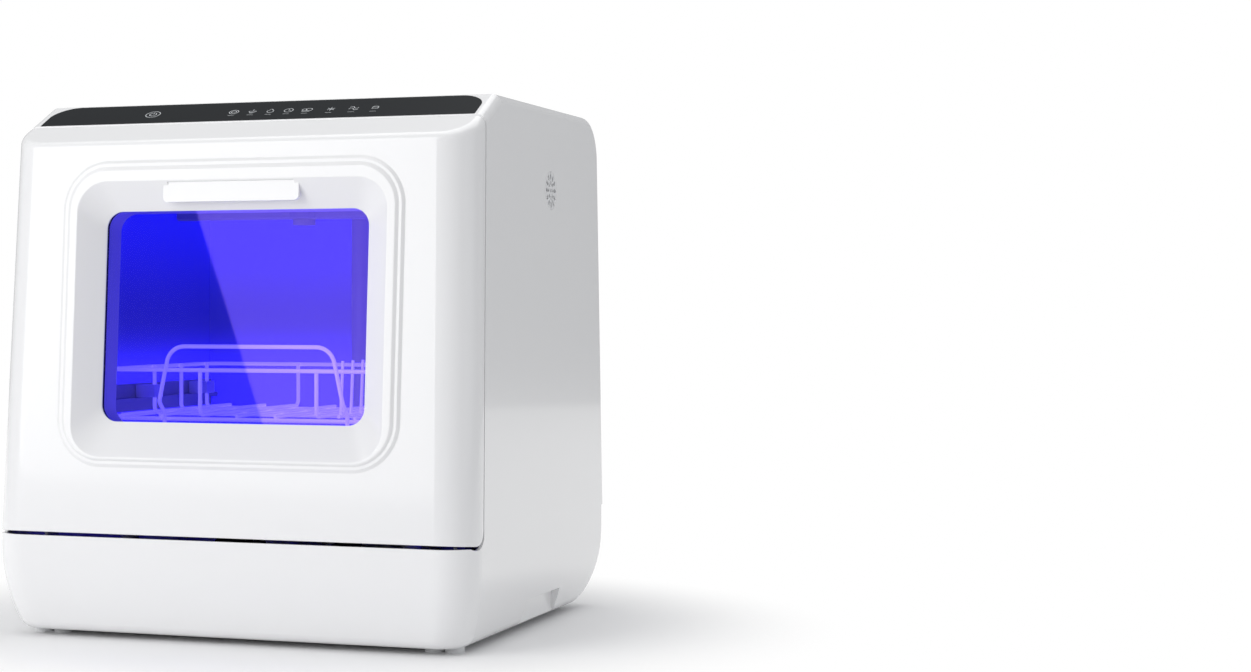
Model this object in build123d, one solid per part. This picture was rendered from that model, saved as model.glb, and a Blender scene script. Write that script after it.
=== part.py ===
from build123d import *
import os
from math import cos, radians, sin, sqrt, tan

# A countertop dishwasher with a drop-down windowed door, in millimetres.
# While it is drawn, X is across, Y runs back from the lower front edge of the door,
# and Z runs up from the table. On export the origin moves to the middle of the footprint.
# Along the door, v runs up from its lower edge and d runs in from its face.

# Overall body
body_width = 420.0
body_depth = 403.0
body_height = 446.0
rear_reach = 15.0        # how far the hose fittings stand out behind the body
wall = 2.8               # moulded housing wall
foot_height = 5.0
seam_height = 92.5       # joint between the base and the upper housing
base_front_top = 85.5
door_gap = 3.0           # slot between the base and the door
groove = 1.5             # slot between the door and the upper housing
side_draft = 1.04        # degrees
lean = 4.2               # degrees that the door leans back
front_corner = 30.0
rear_corner = 12.0
edge_round = 8.0
rear_top_round = 38.0
slope_angle = 26.0       # tilt of the door's top strip and the control glass
slope_start = body_height - 36.5     # height where the door's face meets that slope

# Base
side_tuck_radius = 182.0
front_tuck_radius = 150.0
tuck_start = 75.0
rear_tuck_radius = 55.0
rear_tuck_start = 60.0
grip_front = body_depth / 2 - 28.5   # hand recess low in each side
grip_back = body_depth / 2 + 72.5
grip_top = 28.5
grip_wall = body_width / 2 - 14.0    # its upright back wall, from the middle of the body
foot_radius = 7.8
front_foot_x = (body_width / 2 - 45, body_width / 2 - 28)
front_foot_y = 47.0
rear_foot_x = body_width / 2 - 60
rear_foot_y = body_depth - 83
post_radius = 8.0

# Door
door_thickness = 33.0
door_heel = 13.0         # radius of the door's lower rear edge, round which it swings
hinge_depth = 11.0       # hinge axis behind the door's face
window_width = body_width - 189
window_height = body_height - 272.5
window_centre = window_height / 2 + 92.15
recess_width = window_width + 41
recess_height = window_height + 53
recess_centre = recess_height / 2 + 62.55
recess_depth = 12.0
recess_corner = 26.0
window_corner = 14.0
bead_width = recess_width + 28
bead_height = recess_height + 25.5
bead_centre = bead_height / 2 + 54.5
bead_rise = 3.4
bead_step = 5.0
bead_corner = 40.0
bead_top_drop = 1.0      # the bead's crest sits a little lower than its foot
bead_round = 1.6
bead_step_round = 0.9
glass_thickness = 3.5
glass_margin = 5.5
lip = 1.2
window_seal = 2.0
liner_wall = 2.5
plug_reach = 8.0
plug_width = body_width - 124
plug_low = 24.0
plug_high = recess_height + 69.5
plug_corner = 18.0
handle_width = 119.0
handle_height = 18.0
handle_thickness = 3.6
handle_proud = 1.0
handle_pocket = 16.0
strike_width = 16.0
strike_level = plug_high + 22
strike_reach = 13.0
cup_width = 70.0
cup_low = 34.0
cup_high = 78.0
hinge_x = body_width / 2 - 28
hinge_pin_radius = 3.0
pin_fit = 0.06           # running clearance on the radius
arm_plate = 3.0
cheek_gap = 1.2
cheek_width = 7.0
screw_radius = 2.0

# Wash tub and what hangs in it
tub_half_width = body_width / 2 - 52
tub_floor = 106.0
tub_ceiling = body_height - 58
tub_back = body_depth - 69
tub_wall = 2.0
tub_corner = 20.0
flange_width = 13.0
gasket_width = 9.0
gasket_height = 4.0
sump_x = 88.0
sump_y = tub_back - 72
sump_radius = 40.0
sump_depth = 32.0
filter_radius = 32.0
filter_wall = 2.0
arm_centre_y = tub_back / 2 + 15
arm_reach = tub_half_width - 36
arm_thickness = 10.0
lower_arm_level = 130.0
upper_arm_level = tub_ceiling - 38
spindle_radius = 7.0
spindle_flange = 12.0
feed_pipe_radius = 8.0

# Rack
rack_half_width = tub_half_width - 16
rack_front = 74.0
rack_back = tub_back - 32
rack_floor = 180.0
rack_rim = 221.0
wire = 1.75
thin_wire = 1.4
weld_bite = 0.2          # how far welded wires sink into each other
rack_cross_y = (rack_back - 130, rack_back - 73, rack_back - 16)
rack_pitch = (rack_half_width - 20) / 3.5
rack_long_x = (-1.5 * rack_pitch, 1.5 * rack_pitch)
rack_thin_x = tuple(step * rack_pitch for step in (-3.5, -2.5, -0.5, 0.5, 2.5, 3.5))
comb_x = (1.9 * rack_pitch, 3.05 * rack_pitch)
rack_corner = 14.0
hoop_foot = 82.0
hoop_half_width = 72.0
hoop_top = 241.0
hoop_offset = 14.0
runner_level = 194.0
runner_y = (rack_cross_y[0], rack_cross_y[2])
tine_height = 46.0
tine_count = 8
tine_pitch = (rack_back - rack_front - 60) / (tine_count - 1)

# Water tank, machinery and rear fittings
tank_depth = 42.0
tank_half_width = body_width / 2 - 60
tank_gap = 6.0
tank_wall = 2.5
fill_x = body_width / 2 - 90
fill_y = tub_back - 44
fill_radius = 30.0
lid_radius = 33.0
lid_thickness = 5.0
lid_hinge_y = tub_back - 7
pump_y = 120.0
pump_level = 46.0
volute_radius = 32.0
impeller_radius = 24.0
fan_y = body_depth - 162
fan_level = body_height - 72
fan_radius = 31.0
rotor_radius = 25.0
vent_radius = 16.0
fitting_level = 76.0
inlet_x = 110.0
inlet_radius = 13.2      # a 3/4 inch hose thread
drain_x = 55.0
drain_radius = 10.0
gland_x = 60 - body_width / 2
port_radius = 8.0        # hose ports
port_bore = 6.0
drain_port = 7.0
hose_wall = 2.0
manifold_level = 82.0
manifold_reach = 20.0
heater_y = 56.0
drain_pump_x = body_width / 2 - 45
drain_pump_level = 40.0
tank_port_x = -100.0
tank_port_y = tub_back + 26
tub_port_y = tub_back - 26
tank_side_level = tub_ceiling - 88
seat_gap = 0.3           # clearance between pieces that rest near each other

# Control strip
glass_front_half = body_width / 2 - 16.5
glass_back_corner = 23.0
glass_edge = 1.2
control_thickness = 2.6

half_width = body_width / 2
thin_level = rack_floor + wire + thin_wire - weld_bite
lid_seat = body_height - lid_thickness - seat_gap
rear_plate_centre = body_height / 2 + 29
sump_port_level = tub_floor - tub_wall - sump_depth + 12
door_bottom = base_front_top + door_gap
overall_depth = body_depth + rear_reach
frame_face = door_thickness + groove
frame_back = frame_face + wall
tub_inner = tub_half_width - tub_wall
door_place = Plane(
    origin=(0, 0, door_bottom),
    x_dir=(1, 0, 0),
    z_dir=(0, -cos(radians(lean)), sin(radians(lean))),
).location
hinge_point = (door_place * Pos(0, door_heel, -hinge_depth)).position
glass_depth = recess_depth + lip
seal_depth = glass_depth + glass_thickness
tunnel_depth = seal_depth + window_seal
slope_rise = tan(radians(slope_angle))


def block(x0, x1, y0, y1, z0, z1):
    """A box between two corners."""
    return Pos((x0 + x1) / 2, (y0 + y1) / 2, (z0 + z1) / 2) * Box(x1 - x0, y1 - y0, z1 - z0)


def door_block(x0, x1, v0, v1, d0, d1):
    """A box in the door's own frame."""
    middle = Pos((x0 + x1) / 2, (v0 + v1) / 2, -(d0 + d1) / 2)
    return door_place * middle * Box(x1 - x0, v1 - v0, d1 - d0)


def door_pad(width, height, centre, d0, d1, corner):
    """A rounded rectangular block in the door's own frame."""
    outline = RectangleRounded(width, height, corner)
    return door_place * Pos(0, centre, -d1) * extrude(outline, d1 - d0)


def door_funnel(size0, d0, size1, d1):
    """A tapering rounded block; each size is (width, height, centre, corner)."""
    ends = []
    for (width, height, centre, corner), depth in ((size0, d0), (size1, d1)):
        ends.append(door_place * Pos(0, centre, -depth) * RectangleRounded(width, height, corner))
    return loft(ends, ruled=True)


def door_rod(x, v, d0, d1, radius):
    """A round boss or screw square to the door's face."""
    return door_place * Pos(x, v, -(d0 + d1) / 2) * Cylinder(radius, d1 - d0)


def rod(start, end, radius):
    """A round bar between two points."""
    a, b = Vector(*start), Vector(*end)
    return Solid.make_cylinder(radius, (b - a).length, Plane(origin=a, z_dir=b - a))


def post(x, y, z0, z1, radius):
    return rod((x, y, z0), (x, y, z1), radius)


def ring(x, y, z0, z1, outer, inner):
    return post(x, y, z0, z1, outer) - post(x, y, z0 - 1, z1 + 1, inner)


def bent_wire(points, bend, radius):
    path = FilletPolyline(*points, radius=bend)
    return sweep(Plane(origin=path @ 0, z_dir=path % 0) * Circle(radius), path=path)


def bent_tube(points, bend, outer, inner):
    return bent_wire(points, bend, outer) - bent_wire(points, bend, inner)


def face_y(z):
    """Where the leaning front face stands at a height."""
    return (z - door_bottom) * tan(radians(lean))


def slope_y(z):
    """Where the sloping strip stands at a height."""
    return face_y(slope_start) + (z - slope_start) / slope_rise


def body_form(inset=0.0):
    """The outer form of the door and upper housing together, or the same form set in."""
    low = tuck_start
    top = body_height - inset
    drop = inset / cos(radians(slope_angle))
    step = inset / cos(radians(lean))
    run = tan(radians(lean))
    foot_y = ((slope_start - drop - face_y(slope_start) * slope_rise - door_bottom) * run + step)
    foot_y = foot_y / (1 - run * slope_rise)
    foot_z = slope_start - drop + (foot_y - face_y(slope_start)) * slope_rise
    profile = Polygon(
        (face_y(low) + step, low),
        (foot_y, foot_z),
        (slope_y(top + drop), top),
        (body_depth - inset, top),
        (body_depth - inset, low),
        align=None)
    form = extrude(Plane.YZ * profile, half_width + 10, both=True)
    for side in (-1, 1):
        cut = Plane(origin=(side * (half_width - inset), 0, seam_height),
                    x_dir=(0, 1, 0),
                    z_dir=(side * cos(radians(side_draft)), 0, sin(radians(side_draft))))
        form -= extrude(cut * Rectangle(4 * body_depth, 4 * body_depth), half_width)
    rear_edge = form.edges().filter_by(Axis.X).sort_by(lambda e: e.center().Y + e.center().Z)[-1]
    form = fillet(rear_edge, rear_top_round - inset)
    uprights = [e for e in form.edges() if e.length > body_height / 2 and abs(e.center().X) > 1]
    form = fillet([e for e in uprights if e.center().Y < body_depth / 4], front_corner - inset)
    uprights = [e for e in form.edges() if e.length > body_height / 2 and abs(e.center().X) > 1]
    rim = [e for e in uprights if e.center().Y > body_depth * 0.9]
    for edge in form.edges():
        box = edge.bounding_box()
        across = box.max.X - box.min.X > half_width
        if box.min.Z > slope_start - 2 * inset - 2 and not across and box.max.Z > foot_z + 1:
            rim.append(edge)
        if across and abs(edge.center().Z - foot_z) < 1:
            rim.append(edge)
    return fillet(rim, edge_round - inset)


def slab(d0, d1, heel, v0=0.0):
    """The slice of space that the door fills, with its rounded lower rear edge."""
    far = body_height
    outline = Polygon((d0, v0), (d1, v0), (d1, far), (d0, far), align=None)
    if heel > 0:
        outline = fillet(outline.vertices().sort_by(lambda v: v.Y * far - v.X)[0], heel)
    side = Plane(origin=(0, 0, door_bottom),
                 x_dir=(0, cos(radians(lean)), -sin(radians(lean))),
                 z_dir=(1, 0, 0))
    return extrude(side * outline, half_width + 20, both=True)


def tucked(half, radius, start, low):
    """How far out a wall stands at its foot, once it has curved in under the body."""
    return half - radius + sqrt(radius ** 2 - (start - low) ** 2)


def tuck_arc(far, radius, start, low, side):
    """The curved foot of an upright wall, drawn from its start down to its foot."""
    middle = (start + low) / 2
    return ThreePointArc(
        (side * far, start),
        (side * tucked(far, radius, start, middle), middle),
        (side * tucked(far, radius, start, low), low))


def base_form(inset=0.0):
    """The outer form of the base, or the same form set in."""
    low = foot_height + inset
    top = seam_height
    half = half_width - inset
    radius = side_tuck_radius - inset
    foot = tucked(half, radius, tuck_start, low)
    across = make_face([
        Line((half, tuck_start), (half, top)),
        Line((half, top), (-half, top)),
        Line((-half, top), (-half, tuck_start)),
        tuck_arc(half, radius, tuck_start, low, -1),
        Line((-foot, low), (foot, low)),
        tuck_arc(half, radius, tuck_start, low, 1)])
    front_radius = front_tuck_radius - inset
    rear_radius = rear_tuck_radius - inset
    back = body_depth - inset
    shift = body_depth / 2
    front_far = shift - inset
    front_foot = tucked(front_far, front_radius, tuck_start, low)
    rear_far = back - shift
    rear_foot = tucked(rear_far, rear_radius, rear_tuck_start, low)
    along = make_face([
        Line((rear_far, rear_tuck_start), (rear_far, top)),
        Line((rear_far, top), (-front_far, top)),
        Line((-front_far, top), (-front_far, tuck_start)),
        tuck_arc(front_far, front_radius, tuck_start, low, -1),
        Line((-front_foot, low), (rear_foot, low)),
        tuck_arc(rear_far, rear_radius, rear_tuck_start, low, 1)])
    form = extrude(Plane.XZ * across, 2 * body_depth, both=True)
    form &= Pos(0, shift, 0) * extrude(Plane.YZ * along, body_width, both=True)
    form = fillet(corner_edges(form, 0), front_corner - inset)
    return fillet(corner_edges(form, body_depth), rear_corner - inset)


def corner_edges(form, y):
    """The upright edges, with their curved feet, at the two corners near a given y."""
    edges = []
    for edge in form.edges():
        box = edge.bounding_box()
        near = abs(edge.center().Y - y) < 60 and abs(edge.center().X) > half_width - 40
        if near and box.max.Z - box.min.Z > 10:
            edges.append(edge)
    return edges


def heel_space(clearance):
    """The space that the door's heel turns in, cut from the front of the base."""
    centre = (door_place * Pos(0, door_heel, -(door_thickness - door_heel))).position
    return (rod((-body_width, centre.Y, centre.Z), (body_width, centre.Y, centre.Z), door_heel + clearance)
            + block(-body_width, body_width, -20, centre.Y, base_front_top, seam_height + 20))


def base_housing():
    shell = base_form() - base_form(wall)
    for side in (-1, 1):
        x0, x1 = sorted((side * (grip_wall - wall), side * half_width * 1.1))
        box = block(x0, x1, grip_front - wall, grip_back + wall, foot_height, grip_top + wall)
        shell += base_form() & box
        x0, x1 = sorted((side * grip_wall, side * half_width * 1.1))
        shell -= block(x0, x1, grip_front, grip_back, 0, grip_top)
        x0, x1 = sorted((side * (hinge_x - 10), side * (hinge_x + 10)))
        shell += block(x0, x1, 44, 74, foot_height + wall, 62) & base_form()
        for y in (98.0, tub_back - 38):
            shell += post(side * (tub_half_width - 30), y, foot_height + wall, tub_floor - tub_wall, post_radius)
    for x in (-60.0, 60.0):
        shell += block(x - 14, x + 14, tub_back + tank_gap + 2, tub_back + tank_gap + 14,
                       foot_height + wall / 2, tub_floor + 4)
    shell -= heel_space(door_gap)
    for x, radius in ((inlet_x, inlet_radius), (drain_x, drain_radius), (gland_x, 9.0)):
        shell -= rod((x, body_depth - 10, fitting_level), (x, body_depth + 5, fitting_level), radius)
    low, high = seam_height - 28, seam_height - 8
    shell -= [block(x, x + 6, body_depth - 10, body_depth + 5, low, high) for x in range(-90, 1, 14)]
    return shell


def feet(spots, name_radius):
    return [post(x, y, 0, foot_height, name_radius) for x, y in spots]


def front_feet():
    return feet([(s * x, front_foot_y) for s in (-1, 1) for x in front_foot_x], foot_radius)


def rear_feet():
    return feet([(s * rear_foot_x, rear_foot_y) for s in (-1, 1)], foot_radius + 2)



def slope_place(level):
    """A frame on the sloping strip: local y runs up the slope to its upper edge."""
    return Plane(
        origin=(0, slope_y(body_height), body_height),
        x_dir=(1, 0, 0),
        z_dir=(0, -sin(radians(slope_angle)), cos(radians(slope_angle))),
    ).location * Pos(0, 0, level)


def slope_front():
    """How far down the slope the housing's front edge lies."""
    run = tan(radians(lean))
    start = face_y(slope_start)
    edge = frame_face / cos(radians(lean)) + (slope_start - door_bottom - start * slope_rise) * run
    edge = edge / (1 - run * slope_rise)
    return (edge - slope_y(body_height)) / cos(radians(slope_angle))


def control_shape(depth, thickness, extra=0.0):
    """The control glass's outline, let down into the slope and given a thickness."""
    low = slope_front() + glass_edge - extra
    high = -glass_edge + extra
    half = glass_front_half + extra
    outline = Polygon((-half, low), (half, low), (half, high), (-half, high), align=None)
    outline = fillet(outline.vertices().group_by(Axis.Y)[0], glass_edge)
    outline = fillet(outline.vertices().group_by(Axis.Y)[-1], glass_back_corner)
    return slope_place(-depth) * extrude(outline, thickness)


def opening(extra, d0, d1):
    """The tub's mouth as a block in the door's frame, grown by a margin."""
    low = (tub_floor - door_bottom) - extra
    high = (tub_ceiling - tub_wall * 2 - door_bottom) + extra
    width = 2 * (tub_inner + extra)
    return door_pad(width, high - low, (high + low) / 2, d0, d1, tub_corner + extra)


def upper_housing():
    behind = slab(frame_face, body_depth * 2, 0, v0=-40)
    outer = body_form() & behind & block(-body_width, body_width, -10, body_depth + 1,
                                         seam_height, body_height + 1)
    hollow = body_form(wall) & slab(frame_back, body_depth * 2, 0, v0=-40)
    shell = outer - hollow
    shell += control_shape(control_thickness + wall, wall, 2.0) & body_form(0.5)
    shell -= control_shape(control_thickness, control_thickness * 2, seat_gap)
    shell -= opening(flange_width, 0, frame_back + 20)
    strike = strike_width / 2 + 4
    shell -= door_block(-strike, strike, strike_level - 4, strike_level + 8, 0, frame_back + 1)
    for side in (-1, 1):
        x = side * hinge_x
        shell -= block(x - arm_plate, x + arm_plate, 0, 80, seam_height - 5, hinge_point.Z + 9)
    shell -= rear_plate(-8, 20)
    shell -= rod((half_width - 20, fan_y, fan_level), (half_width + 5, fan_y, fan_level),
                 vent_radius + seat_gap)
    shell -= post(fill_x, fill_y, body_height - 20, body_height + 5, lid_radius + 1)
    ear = 12
    shell -= block(fill_x - ear, fill_x + ear, fill_y, lid_hinge_y + 4,
                   body_height - 20, body_height + 5)
    seat = ring(fill_x, fill_y, lid_seat - wall, body_height - wall / 2, lid_radius + 1 + wall,
                lid_radius + 1)
    seat += ring(fill_x, fill_y, lid_seat - wall, lid_seat, lid_radius + 2, fill_radius - 1)
    shell += seat - fill_slot()
    for side in (-1, 1):
        x0, x1 = sorted((fill_x + side * ear, fill_x + side * (ear + 5)))
        shell += block(x0, x1, lid_hinge_y - 5, lid_hinge_y + 5, body_height - 9, body_height - 0.5)
    axis_z = body_height - lid_thickness / 2
    shell -= rod((fill_x - 15, lid_hinge_y, axis_z), (fill_x + 15, lid_hinge_y, axis_z), 1.2)
    return shell


def fill_slot():
    """Room for the lid's ear behind the filler."""
    return block(fill_x - 12, fill_x + 12, fill_y + fill_radius, lid_hinge_y + 20,
                 body_height - lid_thickness - 8, body_height + 5)


def rear_plate(grow, reach):
    """The rear cover's outline, grown by a margin, from just inside the back outwards."""
    width = 2 * (half_width - 32 + grow)
    height = body_height - 154 + 2 * grow
    outline = RectangleRounded(width, height, 16)
    plate = extrude(Plane(origin=(0, body_depth, rear_plate_centre), x_dir=(1, 0, 0), z_dir=(0, 1, 0)) * outline,
                    reach, both=True)
    return plate


def rear_panel():
    sheet = rear_plate(0, 2.0) & block(-body_width, body_width, body_depth, body_depth + 2, 0, 500)
    for row in range(6):
        z = 200 + row * 9
        for column in range(8):
            x = -140 + column * 14
            sheet -= block(x, x + 9, body_depth - 5, body_depth + 5, z, z + 4)
    return sheet


def control_glass():
    return control_shape(control_thickness, control_thickness)


def touch_board():
    """The touch board, held under the strip by its own spacer feet."""
    depth = control_thickness + wall + 3.6
    board_half = glass_front_half - 28.5
    board = slope_place(-depth) * Pos(0, slope_front() / 2, 0) * extrude(Rectangle(2 * board_half, 28), 1.6)
    for x in (15 - board_half, -50, 50, board_half - 15):
        board += slope_place(-depth + 1.6) * Pos(x, slope_front() / 2, 0) * extrude(Circle(3), 2.0)
    return board


def side_vent():
    """A round insert with rings of petal slots."""
    x = half_width - (fan_level - seam_height) * tan(radians(side_draft))
    disc = Pos(0, 0, -wall) * Cylinder(vent_radius, wall, align=(Align.CENTER, Align.CENTER, Align.MIN))
    slots = []
    for count, radius, length, width in ((12, 12.2, 5.4, 3.4), (8, 6.6, 4.2, 2.8)):
        petal = extrude(Pos(radius, 0) * SlotOverall(length, width), wall * 2, both=True)
        slots += [Rot(0, 0, 360 * i / count) * petal for i in range(count)]
    disc -= slots
    disc -= Cylinder(1.6, wall * 4)
    place = Plane(origin=(x, fan_y, fan_level), x_dir=(0, 1, 0),
                  z_dir=(cos(radians(side_draft)), 0, sin(radians(side_draft))))
    return place.location * disc


def fill_lid():
    cap = post(fill_x, fill_y, body_height - lid_thickness, body_height, lid_radius)
    axis_z = body_height - lid_thickness / 2
    ear = block(fill_x - 10, fill_x + 10, fill_y, lid_hinge_y, body_height - lid_thickness, body_height)
    ear += rod((fill_x - 10, lid_hinge_y, axis_z), (fill_x + 10, lid_hinge_y, axis_z), lid_thickness / 2)
    cap += ear
    cap -= rod((fill_x - 20, lid_hinge_y, axis_z), (fill_x + 20, lid_hinge_y, axis_z), 1.2 + pin_fit)
    scoop = Pos(fill_x, fill_y - lid_radius, body_height + 3) * Sphere(9)
    return cap - scoop


def lid_pin():
    axis_z = body_height - lid_thickness / 2
    return rod((fill_x - 15, lid_hinge_y, axis_z), (fill_x + 15, lid_hinge_y, axis_z), 1.2)


def fill_funnel():
    """The filler's cup and the chute that leads back to the tank."""
    top = lid_seat - wall
    low = tub_ceiling + 16
    cup = post(fill_x, fill_y, low, top, fill_radius)
    chute = block(fill_x - 16, fill_x + 16, fill_y, tub_back + tank_gap + 24, low, low + 16)
    inside = post(fill_x, fill_y, low + 2, top + 5, fill_radius - 2)
    inside += block(fill_x - 14, fill_x + 14, fill_y, tub_back + tank_gap + 22, low + 2, low + 14)
    neck = post(fill_x, tub_back + tank_gap + 12, low - 5, low + 5, 6)
    return cup + chute - inside - neck


def door_outer():
    return body_form() & slab(-20, door_thickness, door_heel)


def door_level(shape, depth):
    """The edges of a shape that lie all along one depth behind the door's face."""
    inverse = door_place.inverse()
    edges = []
    for edge in shape.edges():
        depths = [-(inverse * Pos(*(edge @ u))).position.Z for u in (0, 0.25, 0.5, 0.75, 1)]
        flat = max(depths) - min(depths) < 0.05 and abs(depths[0] - depth) < 0.05
        if flat and abs(edge.center().X) < recess_width / 2 + 20:
            edges.append(edge)
    return edges


def door_face():
    """The door's solid outer form with the stepped bead and the dished recess."""
    sizes = []
    for step in (0, 1, 2, 3):
        shrink = step * bead_step
        centre = bead_centre - (bead_top_drop if step == 3 else 0)
        sizes.append((bead_width - shrink, bead_height - shrink, centre, bead_corner - shrink / 2))
    form = door_outer() + door_funnel(sizes[0], 0, sizes[1], -bead_rise / 2)
    form += door_funnel(sizes[2], -bead_rise / 2, sizes[3], -bead_rise)
    face = (recess_width, recess_height, recess_centre, recess_corner)
    window = (window_width, window_height, window_centre, window_corner)
    form -= door_funnel(face, -bead_rise - 0.01, window, recess_depth)
    form = fillet(door_level(form, -bead_rise), bead_round)
    form = fillet(door_level(form, -bead_rise / 2), bead_step_round)
    return fillet(door_level(form, 0), bead_step_round)


def door_panel():
    """The door's moulded outer shell with its framed recess."""
    form = door_face()
    shell = form - (body_form(wall) & slab(-20, door_thickness + 20, door_heel - wall, v0=wall))
    grown_face = (recess_width + 2 * wall, recess_height + 2 * wall, recess_centre, recess_corner + wall)
    grown_window = (window_width + 2 * wall, window_height + 2 * wall, window_centre,
                    window_corner + wall)
    shell += door_funnel(grown_face, 0.5, grown_window, recess_depth + lip) & form
    top = recess_centre + recess_height / 2
    low, high = top - handle_height + 2, top - 1
    half = handle_width / 2 - 4
    shell += door_block(-half - 2, half + 2, low - 1.6, high + 4, 1, handle_pocket + 2) & form
    bosses = [door_rod(x, v, 2, door_thickness - liner_wall, 4) for x, v in screw_spots()]
    shell += [boss & body_form(1) for boss in bosses]
    shell -= door_pad(window_width, window_height, window_centre, recess_depth - 1, 22, window_corner)
    shell -= door_block(-half, half, low, high, -8, handle_pocket)
    shell -= door_handle()
    for side in (-1, 1):
        x = side * hinge_x
        shell -= door_block(x - arm_plate, x + arm_plate, -3, 22, wall + 0.6, door_thickness + 3)
    return shell - [door_rod(x, v, 12, door_thickness, screw_radius) for x, v in screw_spots()]


def screw_spots():
    """Where the liner is screwed to the door shell."""
    return [(side * (half_width - 24), v) for side in (-1, 1)
            for v in (60.0, recess_centre + 4.2, plug_high - 6)]


def door_window():
    return door_pad(window_width + 2 * glass_margin, window_height + 2 * glass_margin, window_centre,
                    glass_depth, seal_depth, window_corner + glass_margin)


def window_gasket():
    outer = door_pad(window_width + 2 * glass_margin, window_height + 2 * glass_margin, window_centre,
                     seal_depth, tunnel_depth, window_corner + glass_margin)
    return outer - door_pad(window_width + 2, window_height + 2, window_centre,
                            seal_depth - 1, tunnel_depth + 1, window_corner + 1)


def door_liner():
    """The inner panel: a plate, a raised plug that enters the tub, and the window tunnel."""
    face = door_thickness - liner_wall
    plug_back = door_thickness + plug_reach
    plug_height = plug_high - plug_low
    plug_centre = (plug_high + plug_low) / 2
    plate = body_form(wall + seat_gap) & slab(face, door_thickness, 0, v0=door_heel + 1)
    plug = (plug_width, plug_height, plug_centre, plug_corner)
    crown = (plug_width - 6, plug_height - 6, plug_centre, plug_corner - 3)
    inner = (plug_width - 2 * liner_wall, plug_height - 2 * liner_wall, plug_centre, plug_corner - 2)
    inner_crown = (plug_width - 6 - 2 * liner_wall, plug_height - 6 - 2 * liner_wall, plug_centre,
                   plug_corner - 5)
    body = plate + door_funnel(plug, door_thickness - 0.5, crown, plug_back)
    body -= door_funnel(inner, face - 1, inner_crown, plug_back - liner_wall)
    body += door_pad(window_width + 6, window_height + 6, window_centre, tunnel_depth,
                     plug_back - 0.5, window_corner + 3)
    body -= door_pad(window_width + 2, window_height + 2, window_centre, 0, plug_back + 5,
                     window_corner + 1)
    body -= door_block(-cup_width / 2, cup_width / 2, cup_low, cup_high, 20, plug_back + 5)
    for side in (-1, 1):
        x = side * hinge_x
        body -= door_block(x - arm_plate, x + arm_plate, 0, 22, face - 5, door_thickness + 3)
    body -= [door_rod(x, v, 20, door_thickness + 5, screw_radius) for x, v in screw_spots()]
    strike = strike_width / 2
    body -= door_block(-strike, strike, strike_level - 1, strike_level + 5, 20, door_thickness + 3)
    return body


def detergent_cup():
    """An open cup let into the plug below the window."""
    back = door_thickness + plug_reach
    half = cup_width / 2
    cup = door_block(-half + 0.2, half - 0.2, cup_low + 0.2, cup_high - 0.2, back - 19, back + 0.5)
    flange = door_block(-half - 4, half + 4, cup_low - 4, cup_high + 4, back, back + 1.5)
    cup += flange
    divider = half / 3
    cup -= door_block(-half + 2, divider - 1, cup_low + 2, cup_high - 2, back - 17, back + 5)
    cup -= door_block(divider + 1, half - 2, cup_low + 2, cup_high - 2, back - 17, back + 5)
    return cup


def door_handle():
    """The fixed grip that hangs over the finger pocket at the top of the recess."""
    top = recess_centre + recess_height / 2 + 0.6
    half = handle_width / 2
    front = -handle_proud
    tab = door_pad(handle_width, handle_height, top - handle_height / 2, front,
                   front + handle_thickness, 4)
    return tab


def door_strike():
    half = strike_width / 2 - 0.2
    face = door_thickness - liner_wall
    tip = door_thickness + strike_reach
    tongue = door_block(-half, half, strike_level - 0.8, strike_level + 2.2, face - 2, tip)
    tongue += door_block(-half, half, strike_level - 0.8, strike_level + 4.2, tip - 4, tip)
    tongue += door_block(-half - 4, half + 4, strike_level - 6, strike_level + 9, face - 2, face)
    return tongue


def hinge_cheeks():
    """One hinge's carrier in the door: two cheeks bored for the pin, joined above the arm."""
    inner = arm_plate / 2 + cheek_gap
    outer = inner + cheek_width
    carriers = []
    for side in (-1, 1):
        x = side * hinge_x
        body = door_block(x - outer, x + outer, wall + seat_gap, 31, hinge_depth - 4.6,
                          hinge_depth + 6)
        body -= door_block(x - inner, x + inner, 0, 24, 0, door_thickness)
        centre = (door_place * Pos(0, door_heel, -hinge_depth)).position
        body -= rod((x - 30, centre.Y, centre.Z), (x + 30, centre.Y, centre.Z),
                    hinge_pin_radius + pin_fit)
        body += door_block(x - outer, x + outer, 31, 36, hinge_depth - 4.6, door_thickness - 2.6)
        carriers.append(body)
    return carriers


def hinge_arm(side):
    """A steel plate that rises from the base and reaches forward to the hinge pin."""
    x = side * hinge_x
    y, z = hinge_point.Y, hinge_point.Z
    half = arm_plate / 2
    nose = rod((x - half, y, z), (x + half, y, z), 7)
    arm = nose + block(x - half, x + half, y, 68, z - 7, z + 7)
    arm += block(x - half, x + half, 48, 68, 62, z + 7)
    arm += block(x - 9, x + 9, 46, 72, 62, 64.5)
    return arm - rod((x - 9, y, z), (x + 9, y, z), hinge_pin_radius + 0.01)


def hinge_pins():
    reach = arm_plate / 2 + cheek_gap + cheek_width
    y, z = hinge_point.Y, hinge_point.Z
    return [rod((s * hinge_x - reach, y, z), (s * hinge_x + reach, y, z), hinge_pin_radius)
            for s in (-1, 1)]


def door_screws():
    screws = []
    for x, v in screw_spots():
        body = door_rod(x, v, 16, door_thickness, screw_radius - 0.1)
        body += door_rod(x, v, door_thickness, door_thickness + 1.2, 3.6)
        screws.append(body)
    return screws


def door_catch():
    """The latch case behind the frame, open at the front for the strike."""
    half = strike_width / 2 + 4
    low, high = strike_level - 6, strike_level + 10
    case = door_block(-half - 2, half + 2, low, high, frame_back, frame_back + 16)
    return case - door_block(-half, half, low + 2, high - 2, frame_back - 1, frame_back + 14)


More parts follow.
